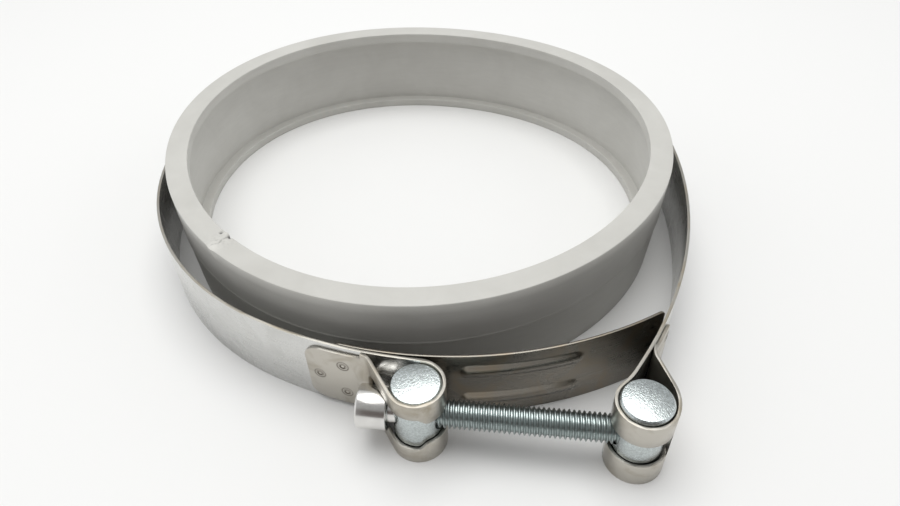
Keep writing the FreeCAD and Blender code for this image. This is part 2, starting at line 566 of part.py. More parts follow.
def make_bridge_plate():
    """A thin plate inside the band that covers the gap behind the bolt, with two pressed ribs."""
    body = new_body("bridge_plate")
    half = size("bridge_thick") / 2
    outer = left_radius - half_band - size("bridge_gap") - half
    touch = front_point(Arc(left_centre, outer, 1), plain_axis.x - size("bridge_touch"))
    centre = touch + (left_centre - touch).normalize() * bridge_radius
    plate = Arc(centre, bridge_radius, 1)
    start = front_point(plate, plain_axis.x - size("bridge_before"))
    end = circles_meet(centre, plate.radius, right_centre,
                       right_radius - half_band - size("bridge_tip_gap") - half, 1)
    work_out("bridge_left_end", -start.x, "how far left of the origin the bridge plate ends")
    work_out("bridge_right_end", end.x, "how far right of the origin the bridge plate ends")
    spine = new_sketch(body, "PlateLine", "XY_Plane")
    geo = draw_chain(spine, [plate], [start, end])[0]
    bind(spine, Sketcher.Constraint("Radius", geo, plate.radius), "PlateRadius", "Sizes.bridge_radius")
    point_from_origin(spine, geo, 1, "LeftEnd", start, "Sizes.bridge_left_end")
    point_from_origin(spine, geo, 2, "RightEnd", end, "Sizes.bridge_right_end")
    swept_strip(body, spine, start, left_of((start - centre).normalize()), "bridge_thick", "band_wide", "Plate")
    doc.recompute()

    def at_end(edge):
        middle = edge.CenterOfMass
        reach = min((middle - Vector(tip.x, tip.y, middle.z)).Length for tip in (start, end))
        return reach < half and abs(edge.Length - size("bridge_thick")) < half / 2

    dress_edges(body, "PartDesign::Fillet", "PlateCorners", edges_where(body, at_end), "Radius", "bridge_corner")

    face = plate.radius + half
    rib_begin = front_point(Arc(centre, face, 1), plain_axis.x + size("rib_begin"))
    rib_end = front_point(Arc(centre, face, 1), plain_axis.x + size("rib_finish"))
    for name, level in (("UpperRib", "rib_upper_level"), ("LowerRib", "rib_lower_level")):
        line = new_sketch(body, name + "Line", "XY_Plane")
        rib_geo = draw_chain(line, [Arc(centre, face, 1)], [rib_begin, rib_end])[0]
        bind(line, Sketcher.Constraint("Radius", rib_geo, face), name + "Radius",
             "Sizes.bridge_radius + Sizes.bridge_thick / 2")
        point_from_origin(line, rib_geo, 1, name + "Begin", rib_begin, "Sizes.trunnion_right + Sizes.rib_begin")
        point_from_origin(line, rib_geo, 2, name + "End", rib_end, "Sizes.trunnion_right + Sizes.rib_finish")
        out = (rib_begin - centre).normalize()
        section = new_sketch(body, name + "Section", "XY_Plane",
                             Placement(rib_begin, Rotation(out * -1, Vector(0, 0, 1), left_of(out), "ZXY")))
        base, crest = Vector(size("rib_bite"), 0), Vector(-size("rib_proud"), 0)
        rise = Vector(0, size(level))
        half_wide = Vector(0, size("rib_wide") / 2)
        arc = section.addGeometry(Part.Arc(base + rise - half_wide, crest + rise, base + rise + half_wide), False)
        chord = section.addGeometry(Part.LineSegment(base + rise + half_wide, base + rise - half_wide), False)
        starts_low = section.getPoint(arc, 1).y < section.getPoint(arc, 2).y
        low, high = (1, 2) if starts_low else (2, 1)
        section.addConstraint(Sketcher.Constraint("Coincident", arc, high, chord, 1))
        section.addConstraint(Sketcher.Constraint("Coincident", arc, low, chord, 2))
        section.addConstraint(Sketcher.Constraint("Vertical", chord))
        bind(section, Sketcher.Constraint("Distance", chord, size("rib_wide")), "Wide", "Sizes.rib_wide")
        point_from_origin(section, chord, 1, "Top", base + rise + half_wide, "Sizes.rib_bite",
                          "Sizes.%s + Sizes.rib_wide / 2" % level)
        rib = body.newObject("PartDesign::AdditivePipe", name)
        rib.Profile = section
        rib.Spine = line
        doc.recompute()
    return body


def make_liner_ring():
    """The closed liner: an inward-open channel whose wall leans in below a crease."""
    body = new_body("liner_ring")
    sketch = new_sketch(body, "LinerSection", "XZ_Plane")
    top = "Sizes.liner_tall"
    web = "Sizes.liner_radius - Sizes.liner_wall"
    lip = web + " - Sizes.liner_lip_deep"
    corners = [
        ("Foot", "Sizes.liner_radius - Sizes.liner_foot_inset", "0"),
        ("Crease", "Sizes.liner_radius - Sizes.liner_crease_inset", top + " - Sizes.liner_crease_drop"),
        ("TopOuter", "Sizes.liner_radius", top),
        ("TopLip", lip, top),
        ("TopLipUnder", lip, top + " - Sizes.liner_top_lip"),
        ("WebTop", web, top + " - Sizes.liner_top_lip"),
        ("WebBottom", web, "Sizes.liner_bottom_lip"),
        ("BottomLip", lip, "Sizes.liner_bottom_lip"),
        ("BottomLipUnder", lip, "0"),
    ]
    points = [Vector(float(sheet.evalExpression(across)), float(sheet.evalExpression(up)))
              for _, across, up in corners]
    geos = polygon(sketch, points)
    for geo, point, (name, across, up) in zip(geos, points, corners):
        on_ground = up == "0"
        point_from_origin(sketch, geo, 1, name, point, across, None if on_ground else up)
        if on_ground:
            sketch.addConstraint(Sketcher.Constraint("PointOnObject", geo, 1, -1))
    turn = body.newObject("PartDesign::Revolution", "LinerTurn")
    turn.Profile = sketch
    turn.ReferenceAxis = (sketch, ["V_Axis"])
    turn.Angle = 360
    doc.recompute()

    lip_radius = size("liner_radius") - size("liner_wall") - size("liner_lip_deep")

    def rounded(edge):
        if not isinstance(edge.Curve, Part.Circle):
            return False
        level = edge.Curve.Center.z
        seat = abs(edge.Curve.Radius - lip_radius) < size("liner_edge")
        top = abs(level - size("liner_tall")) < size("liner_edge")
        bottom = abs(level) < size("liner_edge")
        return (seat or top or bottom) and not (seat and bottom)

    dress_edges(body, "PartDesign::Fillet", "LinerEdges", edges_where(body, rounded), "Radius", "liner_edge")
    return body


def make_trunnion(label, axis, tall, play):
    """An upright steel barrel with a cross bore for the bolt."""
    body = new_body(label, Placement(axis, bolt_turn))
    round_sketch = new_sketch(body, label + "Round", "XY_Plane")
    circle = round_sketch.addGeometry(Part.Circle(Vector(), Vector(0, 0, 1), size("trunnion_radius")), False)
    round_sketch.addConstraint(Sketcher.Constraint("Coincident", circle, 3, -1, 1))
    bind(round_sketch, Sketcher.Constraint("Radius", circle, size("trunnion_radius")), "Barrel",
         "Sizes.trunnion_radius")
    pad = body.newObject("PartDesign::Pad", label + "Pad")
    pad.Profile = round_sketch
    pad.setExpression("Length", "Sizes." + tall)
    doc.recompute()
    dress_edges(body, "PartDesign::Chamfer", label + "Bevel",
                edges_where(body, lambda edge: edge.BoundBox.ZLength < 1e-6), "Size", "trunnion_bevel")
    bore_sketch = new_sketch(body, label + "BoreRound", "YZ_Plane")
    bore_radius = size("bolt_radius") + size(play)
    bore = bore_sketch.addGeometry(Part.Circle(Vector(0, size("bolt_level")), Vector(0, 0, 1), bore_radius), False)
    bore_sketch.addConstraint(Sketcher.Constraint("PointOnObject", bore, 3, -2))
    bind(bore_sketch, Sketcher.Constraint("DistanceY", -1, 1, bore, 3, size("bolt_level")), "Level",
         "Sizes.bolt_level")
    bind(bore_sketch, Sketcher.Constraint("Radius", bore, bore_radius), "Bore",
         "Sizes.bolt_radius + Sizes." + play)
    through = body.newObject("PartDesign::Pocket", label + "Bore")
    through.Profile = bore_sketch
    through.Type = "ThroughAll"
    through.Midplane = True
    doc.recompute()
    return body


def make_bolt():
    """A screw with a smooth cylindrical head and a hex socket, its thread drawn as a plain cylinder."""
    body = new_body("bolt", Placement(plain_axis + Vector(0, 0, size("bolt_level")), bolt_turn))
    sketch = new_sketch(body, "BoltSection", "XZ_Plane")
    face = "-(Sizes.trunnion_radius + Sizes.head_gap)"
    free = face + " - Sizes.head_long"
    end = "Sizes.trunnion_spacing + Sizes.trunnion_radius - Sizes.bolt_end_inset"
    corners = [
        ("FreeAxis", free, "0"),
        ("FreeInner", free, "Sizes.head_radius - Sizes.head_bevel"),
        ("FreeOuter", free + " + Sizes.head_bevel", "Sizes.head_radius"),
        ("FaceOuter", face, "Sizes.head_radius"),
        ("FaceInner", face, "Sizes.bolt_radius"),
        ("EndOuter", end + " - Sizes.bolt_end_bevel", "Sizes.bolt_radius"),
        ("EndInner", end, "Sizes.bolt_radius - Sizes.bolt_end_bevel"),
        ("EndAxis", end, "0"),
    ]
    points = [Vector(float(sheet.evalExpression(along)), float(sheet.evalExpression(out)))
              for _, along, out in corners]
    geos = polygon(sketch, points)
    for geo, point, (name, along, out) in zip(geos, points, corners):
        on_axis = out == "0"
        distance = along if point.x >= 0 else "-(%s)" % along
        point_from_origin(sketch, geo, 1, name, point, distance, None if on_axis else out)
        if on_axis:
            sketch.addConstraint(Sketcher.Constraint("PointOnObject", geo, 1, -1))
    turn = body.newObject("PartDesign::Revolution", "BoltTurn")
    turn.Profile = sketch
    turn.ReferenceAxis = (sketch, ["H_Axis"])
    turn.Angle = 360
    doc.recompute()

    socket = new_sketch(body, "SocketHex", "YZ_Plane")
    socket.setExpression("AttachmentOffset.Base.z", free)
    corner_radius = size("socket_flats") / math.sqrt(3)
    ring = socket.addGeometry(Part.Circle(Vector(), Vector(0, 0, 1), corner_radius), True)
    socket.addConstraint(Sketcher.Constraint("Coincident", ring, 3, -1, 1))
    bind(socket, Sketcher.Constraint("Radius", ring, corner_radius), "Corners", "Sizes.socket_flats / sqrt(3)")
    sides = polygon(socket, [heading_vector(60 * turn_index) * corner_radius for turn_index in range(6)])
    for side in sides:
        socket.addConstraint(Sketcher.Constraint("PointOnObject", side, 1, ring))
    for side in sides[1:]:
        socket.addConstraint(Sketcher.Constraint("Equal", sides[0], side))
    socket.addConstraint(Sketcher.Constraint("PointOnObject", sides[0], 1, -1))
    cut_pocket(body, socket, "Socket", "Sizes.socket_deep", True)
    return body


sub_parts = [
    make_liner_ring(),
    make_band(),
    make_bridge_plate(),
    make_trunnion("trunnion_plain", plain_axis, "plain_tall", "shank_play"),
    make_trunnion("trunnion_threaded", threaded_axis, "threaded_tall", "thread_play"),
    make_bolt(),
]

doc.recompute()
for feature in doc.Objects:
    if "Invalid" in feature.State or "Error" in feature.State:
        raise RuntimeError("%s did not recompute: %s" % (feature.Name, feature.State))
os.makedirs("parts", exist_ok=True)
for body in sub_parts:
    if body.Shape.isNull() or not body.Shape.isValid() or len(body.Shape.Solids) != 1:
        raise RuntimeError(body.Label + " is not one valid solid")
    body.Shape.exportStep("parts/%s.step" % body.Label)
    print("%-18s %9.1f mm3  %s" % (body.Label, body.Shape.Volume, body.Shape.BoundBox))
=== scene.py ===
"""Dresses the v band clamp: rubber liner, folded steel band, bridge plate, trunnions and bolt."""

import json
import math

import bmesh
import bpy
from bpy.props import FloatProperty, FloatVectorProperty, IntProperty, PointerProperty
from mathutils import Matrix, Vector, noise
from mathutils.bvhtree import BVHTree


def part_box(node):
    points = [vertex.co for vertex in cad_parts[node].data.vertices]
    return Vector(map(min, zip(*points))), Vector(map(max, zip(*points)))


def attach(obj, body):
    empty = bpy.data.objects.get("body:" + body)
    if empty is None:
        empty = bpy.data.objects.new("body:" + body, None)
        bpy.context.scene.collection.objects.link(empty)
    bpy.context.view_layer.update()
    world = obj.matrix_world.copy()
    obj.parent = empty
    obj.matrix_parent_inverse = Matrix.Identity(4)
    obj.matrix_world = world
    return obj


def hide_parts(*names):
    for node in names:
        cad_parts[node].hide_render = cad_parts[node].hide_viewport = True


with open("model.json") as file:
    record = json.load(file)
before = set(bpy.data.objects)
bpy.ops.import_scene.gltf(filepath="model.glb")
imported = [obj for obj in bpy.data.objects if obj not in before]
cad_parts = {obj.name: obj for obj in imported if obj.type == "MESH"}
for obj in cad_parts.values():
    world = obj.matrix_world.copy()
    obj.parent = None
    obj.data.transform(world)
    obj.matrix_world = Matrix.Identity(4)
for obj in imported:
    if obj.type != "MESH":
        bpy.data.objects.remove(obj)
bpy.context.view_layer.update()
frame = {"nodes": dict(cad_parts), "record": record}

bl_info = {
    "name": "Band Clamp Dressing",
    "version": (1, 0, 0),
    "blender": (4, 5, 0),
    "location": "3D View > Sidebar > Band Clamp",
    "description": "Builds the finished surfaces of a trunnion bolt band clamp round its solids",
    "category": "Object",
}

MM = 0.001
TURN = 2 * math.pi
CLAMP_BODY = "clamp"
SCREW_BODY = "screw"
UP = Vector((0, 0, 1))
RIGHT = Vector((1, 0, 0))
TINY = 1e-6
MERGE_REACH = 2e-6
BLACK, WHITE = (0, 0, 0), (1, 1, 1)

# What a bend of the strip is touched at to find its circle, in degrees round the upright axis.
LEFT_HEADINGS = (-110.5, -108.5, -106.5)
RIGHT_HEADINGS = (-22, -16, -10)

# How the soft liner has settled: for each wave round it, its count, cosine share and sine share.
SETTLED_WAVES = ((2, 0.0162, -0.02277), (3, 0.01008, 0.01269))
FOOT_SHIFT = Vector((-0.005, -0.0105, 0))

# A spot weld's section, as shares of its radius: distance from its middle, and rise.
WELD_SECTION = ((0.0, -0.10), (0.14, -0.09), (0.26, 0.02), (0.40, 0.07), (0.52, 0.015), (0.64, -0.03),
                (0.78, 0.03), (0.92, 0.02), (1.0, -0.05))
# How dark the burn is, from a weld's middle to its rim.
WELD_BURN = ((0.0, 0.0), (0.14, 0.1), (0.24, 1), (0.38, 1), (0.46, 0.15), (0.56, 0.95), (0.76, 0.8),
             (1.0, 0.0))

# The brightness of the room by the upward part of the direction: in front, and behind.
FRONT_ROOM = ((0.0, (0.3, 0.29, 0.28)), (0.1, (0.15, 0.132, 0.125)), (0.46, (0.15, 0.132, 0.125)),
              (0.62, (0.37, 0.37, 0.365)), (0.9, (0.44, 0.44, 0.44)), (1.0, (0.9, 0.9, 0.9)))
BACK_ROOM = ((0.0, (0.5, 0.5, 0.49)), (0.35, (0.56, 0.58, 0.59)), (0.75, (0.8, 0.8, 0.8)))

SENSOR_WIDE = 36
THREAD_STEPS = 44
HEAD_STEPS = 48
WELD_STEPS = 28
SLOT_STEPS = 7

# ---------------------------------------------------------------- places read from the frame

LINER_LOW, LINER_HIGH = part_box("liner_ring")
LINER_RADIUS = (LINER_HIGH.x - LINER_LOW.x) / 2
LINER_TALL = LINER_HIGH.z - LINER_LOW.z
BRIDGE_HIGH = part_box("bridge_plate")[1]
BOLT_LOW, BOLT_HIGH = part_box("bolt")
HEAD_RADIUS = (BOLT_HIGH.z - BOLT_LOW.z) / 2
BOLT_JOINT = frame["record"]["behaviour"]["joints"][0]
BOLT_AXIS = Vector(BOLT_JOINT["axis"]).normalized()
BOLT_CENTRE = Vector(BOLT_JOINT["pos_m"])
PLAIN_LOW, PLAIN_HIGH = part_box("trunnion_plain")
TRUNNION_RADIUS = (PLAIN_HIGH.x - PLAIN_LOW.x) / 2
PLAIN_AXIS = Vector((BOLT_CENTRE.x, BOLT_CENTRE.y, 0))
BOLT_LEVEL = BOLT_CENTRE.z


# ---------------------------------------------------------------- settings

def length(name, description, default):
    """A size in millimetres, kept in metres."""
    return FloatProperty(name=name, description=description, default=default * MM, subtype="DISTANCE",
                         unit="LENGTH", precision=5)


def place(name, description, default):
    """A place in millimetres, kept in metres."""
    return FloatVectorProperty(name=name, description=description, default=[part * MM for part in default],
                               subtype="XYZ", unit="LENGTH", precision=5)


def angle(name, description, default):
    """An angle in degrees, kept in radians."""
    return FloatProperty(name=name, description=description, default=math.radians(default), subtype="ANGLE",
                         unit="ROTATION")


def factor(name, description, default):
    """A plain number."""
    return FloatProperty(name=name, description=description, default=default)


def colour(name, description, default):
    """A colour in linear light."""
    return FloatVectorProperty(name=name, description=description, default=default, subtype="COLOR",
                               min=0, max=1)


class LinerSettings(bpy.types.PropertyGroup):
    """The rubber liner's section and its small faults."""
    top_lip: length("Top Lip", "Thickness of the top lip", 4.7)
    bottom_lip: length("Bottom Lip", "Thickness of the bottom lip", 3.8)
    wall: length("Wall", "Thickness of the wall at the top", 4.6)
    lip_deep: length("Lip Depth", "How far the lips stand in from the wall", 4.2)
    crease_drop: length("Crease Drop", "Depth of the crease below the top", 18.5)
    crease_inset: length("Crease Inset", "How far the wall leans in down to the crease", 0.9)
    ridge: length("Ridge", "How far a fine moulding ridge stands out at the crease", 0.28)
    foot_inset: length("Foot Inset", "How far the wall leans in down to the bottom", 2.6)
    edge: length("Edge", "Rounding of the edges", 0.45)
    joint_angle: angle("Joint Angle", "Where the liner's ends are joined", -134)
    steps: IntProperty(name="Steps", description="Divisions round the liner", default=360)


class SteelSettings(bpy.types.PropertyGroup):
    """The band, the bridge plate and their marks."""
    edge: length("Edge", "Rounding of the strip's edges", 0.16)
    barrel_edge: length("Barrel Edge", "Rounding of the trunnions' edges", 0.15)
    weld_end: place("End Weld", "Near the single weld at the left tab's end", (-31.8, -109.0, 0))
    weld_left: place("Left Welds", "Near the pair of welds on the left tab", (-23.2, -112.5, 0))
    weld_right: place("Right Welds", "Near the pair of welds on the right tab", (86.5, -103.0, 0))
    weld_spread: length("Weld Spread", "How far a pair's welds are above and below the middle", 6.9)
    weld_radius: length("Weld Radius", "Outer radius of a spot weld's mark", 2.5)
    plate_thick: length("Plate Thickness", "Thickness of the bridge plate", 0.9)
    plate_corner: length("Plate Corner", "Corner radius of the bridge plate", 2.2)
    rib_wide: length("Rib Width", "Width of a rib of the bridge plate", 6.4)
    rib_proud: length("Rib Height", "Height of a rib of the bridge plate", 1.0)
    rib_from: length("Rib Start", "Where the ribs start, along the plate from the plain trunnion", 17.0)
    rib_to: length("Rib End", "Where the ribs end, along the plate from the plain trunnion", 52.5)
    rib_upper: length("Upper Rib", "Height of the upper rib's middle", 22.3)
    rib_lower: length("Lower Rib", "Height of the lower rib's middle", 8.2)
    tab_from: length("Tab Start", "The left tab starts right of this", -35)
    tab_to: length("Tab End", "The left tab is plain left of this", -20)
    tab_longer: length("Tab Longer", "How much further the left tab reaches", 1.7)
    tab_lift: length("Tab Lift", "How far a tab's face stands off the band's face", 1.15)
    right_bend: length("Right Bend", "The band is plain right of this", 95)
    front: length("Front", "The folds lie in front of this", -100)
    slot_round: length("Slot Rounding", "Half the length of the sweep at a slot's step", 1.7)
    slot_near: length("Slot Reach", "How far outside a barrel its loop is worked", 2.0)


class BoltSettings(bpy.types.PropertyGroup):
    """The screw."""
    thread_radius: length("Thread Radius", "Outer radius of the thread", 4.74)
    pitch: length("Pitch", "Distance between two crests", 1.5875)
    thread_depth: length("Thread Depth", "Depth of the thread", 0.86)
    head_long: length("Head Length", "Length of the head", 10.0)
    head_gap: length("Head Gap", "Bare shank between the head and the trunnion", 1.2)
    head_bevel: length("Head Bevel", "Rounding of the head's edges", 0.8)
    socket_flats: length("Socket Flats", "Width across the hex socket's flats", 7.94)
    socket_deep: length("Socket Depth", "Depth of the hex socket", 5.5)
    end_inset: length("End Inset", "How far the end is inside the threaded trunnion", 2.0)


class FinishSettings(bpy.types.PropertyGroup):
    """The colours of the finishes."""
    rubber: colour("Rubber", "The liner's grey", (0.615, 0.606, 0.57))
    rubber_dust: colour("Rubber Dust", "The pale bloom on the liner", (0.695, 0.687, 0.65))
    steel: colour("Steel", "The band's stainless steel", (0.64, 0.64, 0.625))
    # Also painted shade: this darker steel goes on the left tab's end faces to draw a shadow line round the
    # tab.
    cut_edge_and_shade: colour("Cut Edge", "The duller steel where the strip was sheared", (0.40, 0.385, 0.35))
    loop: colour("Loop Steel", "The warmer steel of the folded ends", (0.52, 0.495, 0.445))
    steel_stain: colour("Steel Stain", "Handled and heat-touched steel", (0.58, 0.578, 0.56))
    loop_stain: colour("Loop Stain", "Handled and heat-touched loop steel", (0.34, 0.30, 0.235))
    # Painted shade: the plate's steel is made dark to stand in for the shade and dark reflections behind
    # the bolt.
    plate: colour("Plate", "The bridge plate's bright dark steel", (0.22, 0.205, 0.18))
    plate_stain: colour("Plate Stain", "The browner patches of the plate", (0.25, 0.205, 0.15))
    zinc: colour("Zinc", "The trunnions' zinc", (0.53, 0.575, 0.575))
    thread: colour("Thread", "The bolt's zinc", (0.44, 0.49, 0.485))
    head: colour("Head", "The head's polished zinc", (0.74, 0.73, 0.71))
    scorch: colour("Scorch", "The brown ring round a spot weld", (0.05, 0.033, 0.02))


class StageSettings(bpy.types.PropertyGroup):
    """The camera, lamps and floor."""
    camera_place: place("Camera Place", "Where the camera stands", (13.38, -255.78, 201.78))
    camera_tilt: angle("Camera Tilt", "How far the camera looks down", 42.23)
    camera_roll: angle("Camera Roll", "How far the camera leans", -1.5)
    lens: FloatProperty(name="Lens", description="Focal length on a 36 mm wide sensor", default=27.6,
                        subtype="DISTANCE_CAMERA", unit="CAMERA")
    floor: colour("Floor", "The pale floor", (0.83, 0.83, 0.825))
    floor_half: length("Floor Size", "Size of the floor's grid", 3000)
    room: factor("Room", "How bright the room is", 1.0)
    lamp_power: factor("Lamp Power", "Power of the overhead lamp in watts", 10.0)
    lamp_place: place("Lamp Place", "Where the overhead lamp hangs", (-50, 110, 1200))
    lamp_wide: length("Lamp Width", "Size of the lamp from side to side", 1150)
    lamp_deep: length("Lamp Depth", "Size of the lamp from front to back", 900)
    lamp_tint: colour("Lamp Tint", "The lamp's colour", (1.0, 1.0, 0.985))
    side_glow: colour("Side Glow", "The pale walls at both sides", (0.95, 0.96, 0.97))


SETTINGS = {"clamp_liner": LinerSettings, "clamp_steel": SteelSettings, "clamp_bolt": BoltSettings,
            "clamp_finish": FinishSettings, "clamp_stage": StageSettings}


# ---------------------------------------------------------------- materials

class Nodes:
    """Makes and links the nodes of one node tree."""

    def __init__(self, tree):
        self.tree = tree

    def link(self, value, socket):
        """Feed a socket with another node's output, a number or a colour."""
        if isinstance(value, bpy.types.NodeSocket):
            self.tree.links.new(value, socket)
        elif socket.type == "RGBA":
            socket.default_value = (*value, 1)
        else:
            socket.default_value = value

    def node(self, kind, inputs=(), **settings):
        """A new node with its settings and inputs."""
        made = self.tree.nodes.new(kind)
        for key, value in settings.items():
            setattr(made, key, value)
        for socket, value in dict(inputs).items():
            self.link(value, made.inputs[socket])
        return made

    def ramp(self, fac, stops):
        """A ramp through (position, colour) stops."""
        made = self.node("ShaderNodeValToRGB", {"Fac": fac})
        elements = made.color_ramp.elements
        while len(elements) < len(stops):
            elements.new(0.5)
        for element, (position, value) in zip(elements, stops):
            element.position = position
            element.color = (*value, 1)
        return made.outputs["Color"]

    def mix(self, fac, first, second, blend="MIX"):
        """Two colours mixed by a factor."""
        made = self.node("ShaderNodeMix", data_type="RGBA", blend_type=blend)
        for name, value in (("Factor", fac), ("A", first), ("B", second)):
            kind = "VALUE" if name == "Factor" else "RGBA"
            self.link(value, next(item for item in made.inputs if item.name == name and item.type == kind))
        return next(item for item in made.outputs if item.type == "RGBA")

    def stretch(self, value, begin=0.0, end=1.0, low=0.0, high=1.0, smooth=False):
        """A number moved from one range to another."""
        kind = "SMOOTHSTEP" if smooth else "LINEAR"
        limits = {"Value": value, "From Min": begin, "From Max": end, "To Min": low, "To Max": high}
        return self.node("ShaderNodeMapRange", limits, interpolation_type=kind).outputs["Result"]


class Surface(Nodes):
    """A node material built round one Principled shader."""

    def __init__(self, name, **sockets):
        self.material = bpy.data.materials.new(name)
        self.material.use_nodes = True
        super().__init__(self.material.node_tree)
        self.shader = self.tree.nodes["Principled BSDF"]
        for socket, value in sockets.items():
            self.shader.inputs[socket.replace("_", " ").title().replace("Ior", "IOR")].default_value = value

    def place(self):
        """The object's own coordinates, in metres."""
        return self.node("ShaderNodeTexCoord").outputs["Object"]

    def scaled(self, vector, scale):
        """Coordinates with each axis scaled by itself."""
        return self.node("ShaderNodeMapping", {"Vector": vector, "Scale": scale}).outputs["Vector"]

    def wrapped(self):
        """Coordinates that follow a wall round the upright axis: length round it, height and zero."""
        split = self.node("ShaderNodeSeparateXYZ", {"Vector": self.place()})
        turn = self.node("ShaderNodeMath", {0: split.outputs["Y"], 1: split.outputs["X"]},
                         operation="ARCTAN2")
        round_wall = self.node("ShaderNodeMath", {0: turn.outputs[0], 1: LINER_RADIUS},
                               operation="MULTIPLY")
        return self.node("ShaderNodeCombineXYZ", {"X": round_wall.outputs[0],
                                                  "Y": split.outputs["Z"]}).outputs["Vector"]

    def cloud(self, scale, detail, roughness=0.55, distortion=0.0, vector=None):
        """Soft noise, on the object's coordinates unless others are given."""
        return self.node("ShaderNodeTexNoise", {"Vector": vector or self.place(),
                                                "Scale": scale, "Detail": detail, "Roughness": roughness,
                                                "Distortion": distortion}).outputs["Fac"]

    def patches(self, fac, low, high):
        """A mask that goes from black at low to white at high."""
        return self.ramp(fac, ((low, BLACK), (high, WHITE)))

    def attribute(self, name):
        """A number kept on the mesh."""
        return self.node("ShaderNodeAttribute", attribute_name=name).outputs["Fac"]

    def finish(self, base=None, roughness=None, height=None, bump=0.1, depth=0.0001):
        """Link the shader's inputs and give the material."""
        if base is not None:
            self.link(base, self.shader.inputs["Base Color"])
        if roughness is not None:
            self.link(roughness, self.shader.inputs["Roughness"])
        if height is not None:
            relief = self.node("ShaderNodeBump", {"Height": height, "Strength": bump, "Distance": depth})
            self.link(relief.outputs["Normal"], self.shader.inputs["Normal"])
        return self.material


def grey(level):
    """A neutral colour."""
    return (level, level, level)


def toned(value, share):
    """A colour made darker or lighter."""
    return tuple(min(1, part * share) for part in value)


def rubber_material(finish):
    """Smooth grey rubber with a pale bloom in soft patches, darker where its joint is torn, and darker on
    the outer wall as painted shade.
    """
    surface = Surface("liner_rubber", specular_ior_level=0.5)
    soft = surface.cloud(scale=45, detail=5, roughness=0.6, distortion=0.6)
    streaks = surface.cloud(scale=1, detail=3, vector=surface.scaled(surface.place(), (90, 90, 700)))
    grain = surface.cloud(scale=2600, detail=3)
    bloom = surface.mix(0.35, surface.patches(soft, 0.35, 0.7), surface.patches(streaks, 0.3, 0.75))
    clean = surface.mix(bloom, finish.rubber, finish.rubber_dust)
    # Painted shade and joint marks: this attribute darkens the outer wall as painted shade, and carries the
    # joint's own light and dark marks.
    shade_and_joint_marks = surface.ramp(surface.attribute("joint_mark_and_shade"), ((0.0, grey(0.12)), (0.5, grey(0.82)), (1.0, WHITE)))
    base = surface.mix(1.0, clean, shade_and_joint_marks, "MULTIPLY")
    rough = surface.stretch(soft, low=0.42, high=0.58)
    return surface.finish(base, rough, grain, bump=0.25, depth=0.06 * MM)


def steel_material(name, clean, stain, low, high, brush=0.35):
    """Rolled stainless steel: a fine grain along the strip and faint handling stains."""
    surface = Surface(name, metallic=1.0)
    grain = surface.cloud(scale=1, detail=4, roughness=0.6,
                          vector=surface.scaled(surface.wrapped(), (60, 3800, 1)))
    stains = surface.cloud(scale=70, detail=4, roughness=0.6, distortion=1.0)
    base = surface.mix(surface.patches(stains, 0.46, 0.74), clean, stain)
    rough = surface.stretch(surface.mix(0.5, grain, stains), low=low, high=high)
    return surface.finish(base, rough, grain, bump=brush, depth=0.03 * MM)


def zinc_material(finish):
    """Zinc plate over a blasted barrel: a fine crystalline sparkle."""
    surface = Surface("trunnion_zinc", metallic=1.0)
    cells = surface.node("ShaderNodeTexVoronoi", {"Vector": surface.place(), "Scale": 1900})
    fine = surface.cloud(scale=1500, detail=4, roughness=0.75)
    wide = surface.cloud(scale=260, detail=3)
    height = surface.mix(0.55, cells.outputs["Distance"], fine)
    base = surface.mix(surface.patches(fine, 0.38, 0.62), toned(finish.zinc, 0.8), toned(finish.zinc, 1.18))
    rough = surface.stretch(wide, low=0.14, high=0.24)
    return surface.finish(base, rough, height, bump=0.62, depth=0.12 * MM)


def thread_material(finish):
    """Zinc plate on the thread, a little uneven in tone."""
    surface = Surface("bolt_thread", metallic=1.0)
    wide = surface.cloud(scale=420, detail=3)
    base = surface.mix(surface.patches(wide, 0.35, 0.7), finish.thread, toned(finish.thread, 0.82))
    rough = surface.stretch(wide, low=0.24, high=0.36)
    return surface.finish(base, rough, surface.cloud(scale=5200, detail=2), bump=0.15, depth=0.03 * MM)


def head_material(finish):
    """The polished head, with faint marks of handling."""
    surface = Surface("bolt_head", metallic=1.0)
    wide = surface.cloud(scale=320, detail=4, roughness=0.6, distortion=0.4)
    base = surface.mix(surface.patches(wide, 0.4, 0.8), finish.head, toned(finish.head, 0.86))
    rough = surface.stretch(wide, low=0.14, high=0.26)
    return surface.finish(base, rough, surface.cloud(scale=2400, detail=3), bump=0.12, depth=0.05 * MM)


def scorch_material(finish):
    """A spot weld's mark: a bright pit in a dark ring that fades to the steel round it."""
    surface = Surface("weld_scorch", metallic=1.0)
    soft = surface.cloud(scale=1500, detail=4, roughness=0.65)
    dark = surface.ramp(surface.attribute("ring"), [(share, grey(burn)) for share, burn in WELD_BURN])
    uneven = surface.mix(soft, grey(0.7), WHITE)
    base = surface.mix(surface.mix(1.0, dark, uneven, "MULTIPLY"), finish.loop, finish.scorch)
    return surface.finish(base, surface.stretch(soft, low=0.3, high=0.45), soft, bump=0.4, depth=0.08 * MM)


# ---------------------------------------------------------------- mesh helpers

def make_piece(name, bm, material, body, smooth):
    """Turn a bmesh into a piece that rides on a body, smooth up to an angle in degrees."""
    mesh = bpy.data.meshes.new(name)
    bm.to_mesh(mesh)
    bm.free()
    mesh.shade_smooth()
    mesh.set_sharp_from_angle(angle=math.radians(smooth))
    piece = bpy.data.objects.new(name, mesh)
    bpy.context.collection.objects.link(piece)
    for entry in material if isinstance(material, (list, tuple)) else (material,):
        mesh.materials.append(entry)
    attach(piece, body)
    return piece


def solid_copy(node):
    """A node's mesh with its loose triangles merged and its flat faces joined."""
    bm = bmesh.new()
    bm.from_mesh(frame["nodes"][node].data)
    bmesh.ops.remove_doubles(bm, verts=bm.verts, dist=MERGE_REACH)
    bmesh.ops.dissolve_limit(bm, angle_limit=math.radians(0.6), verts=bm.verts, edges=bm.edges)
    return bm


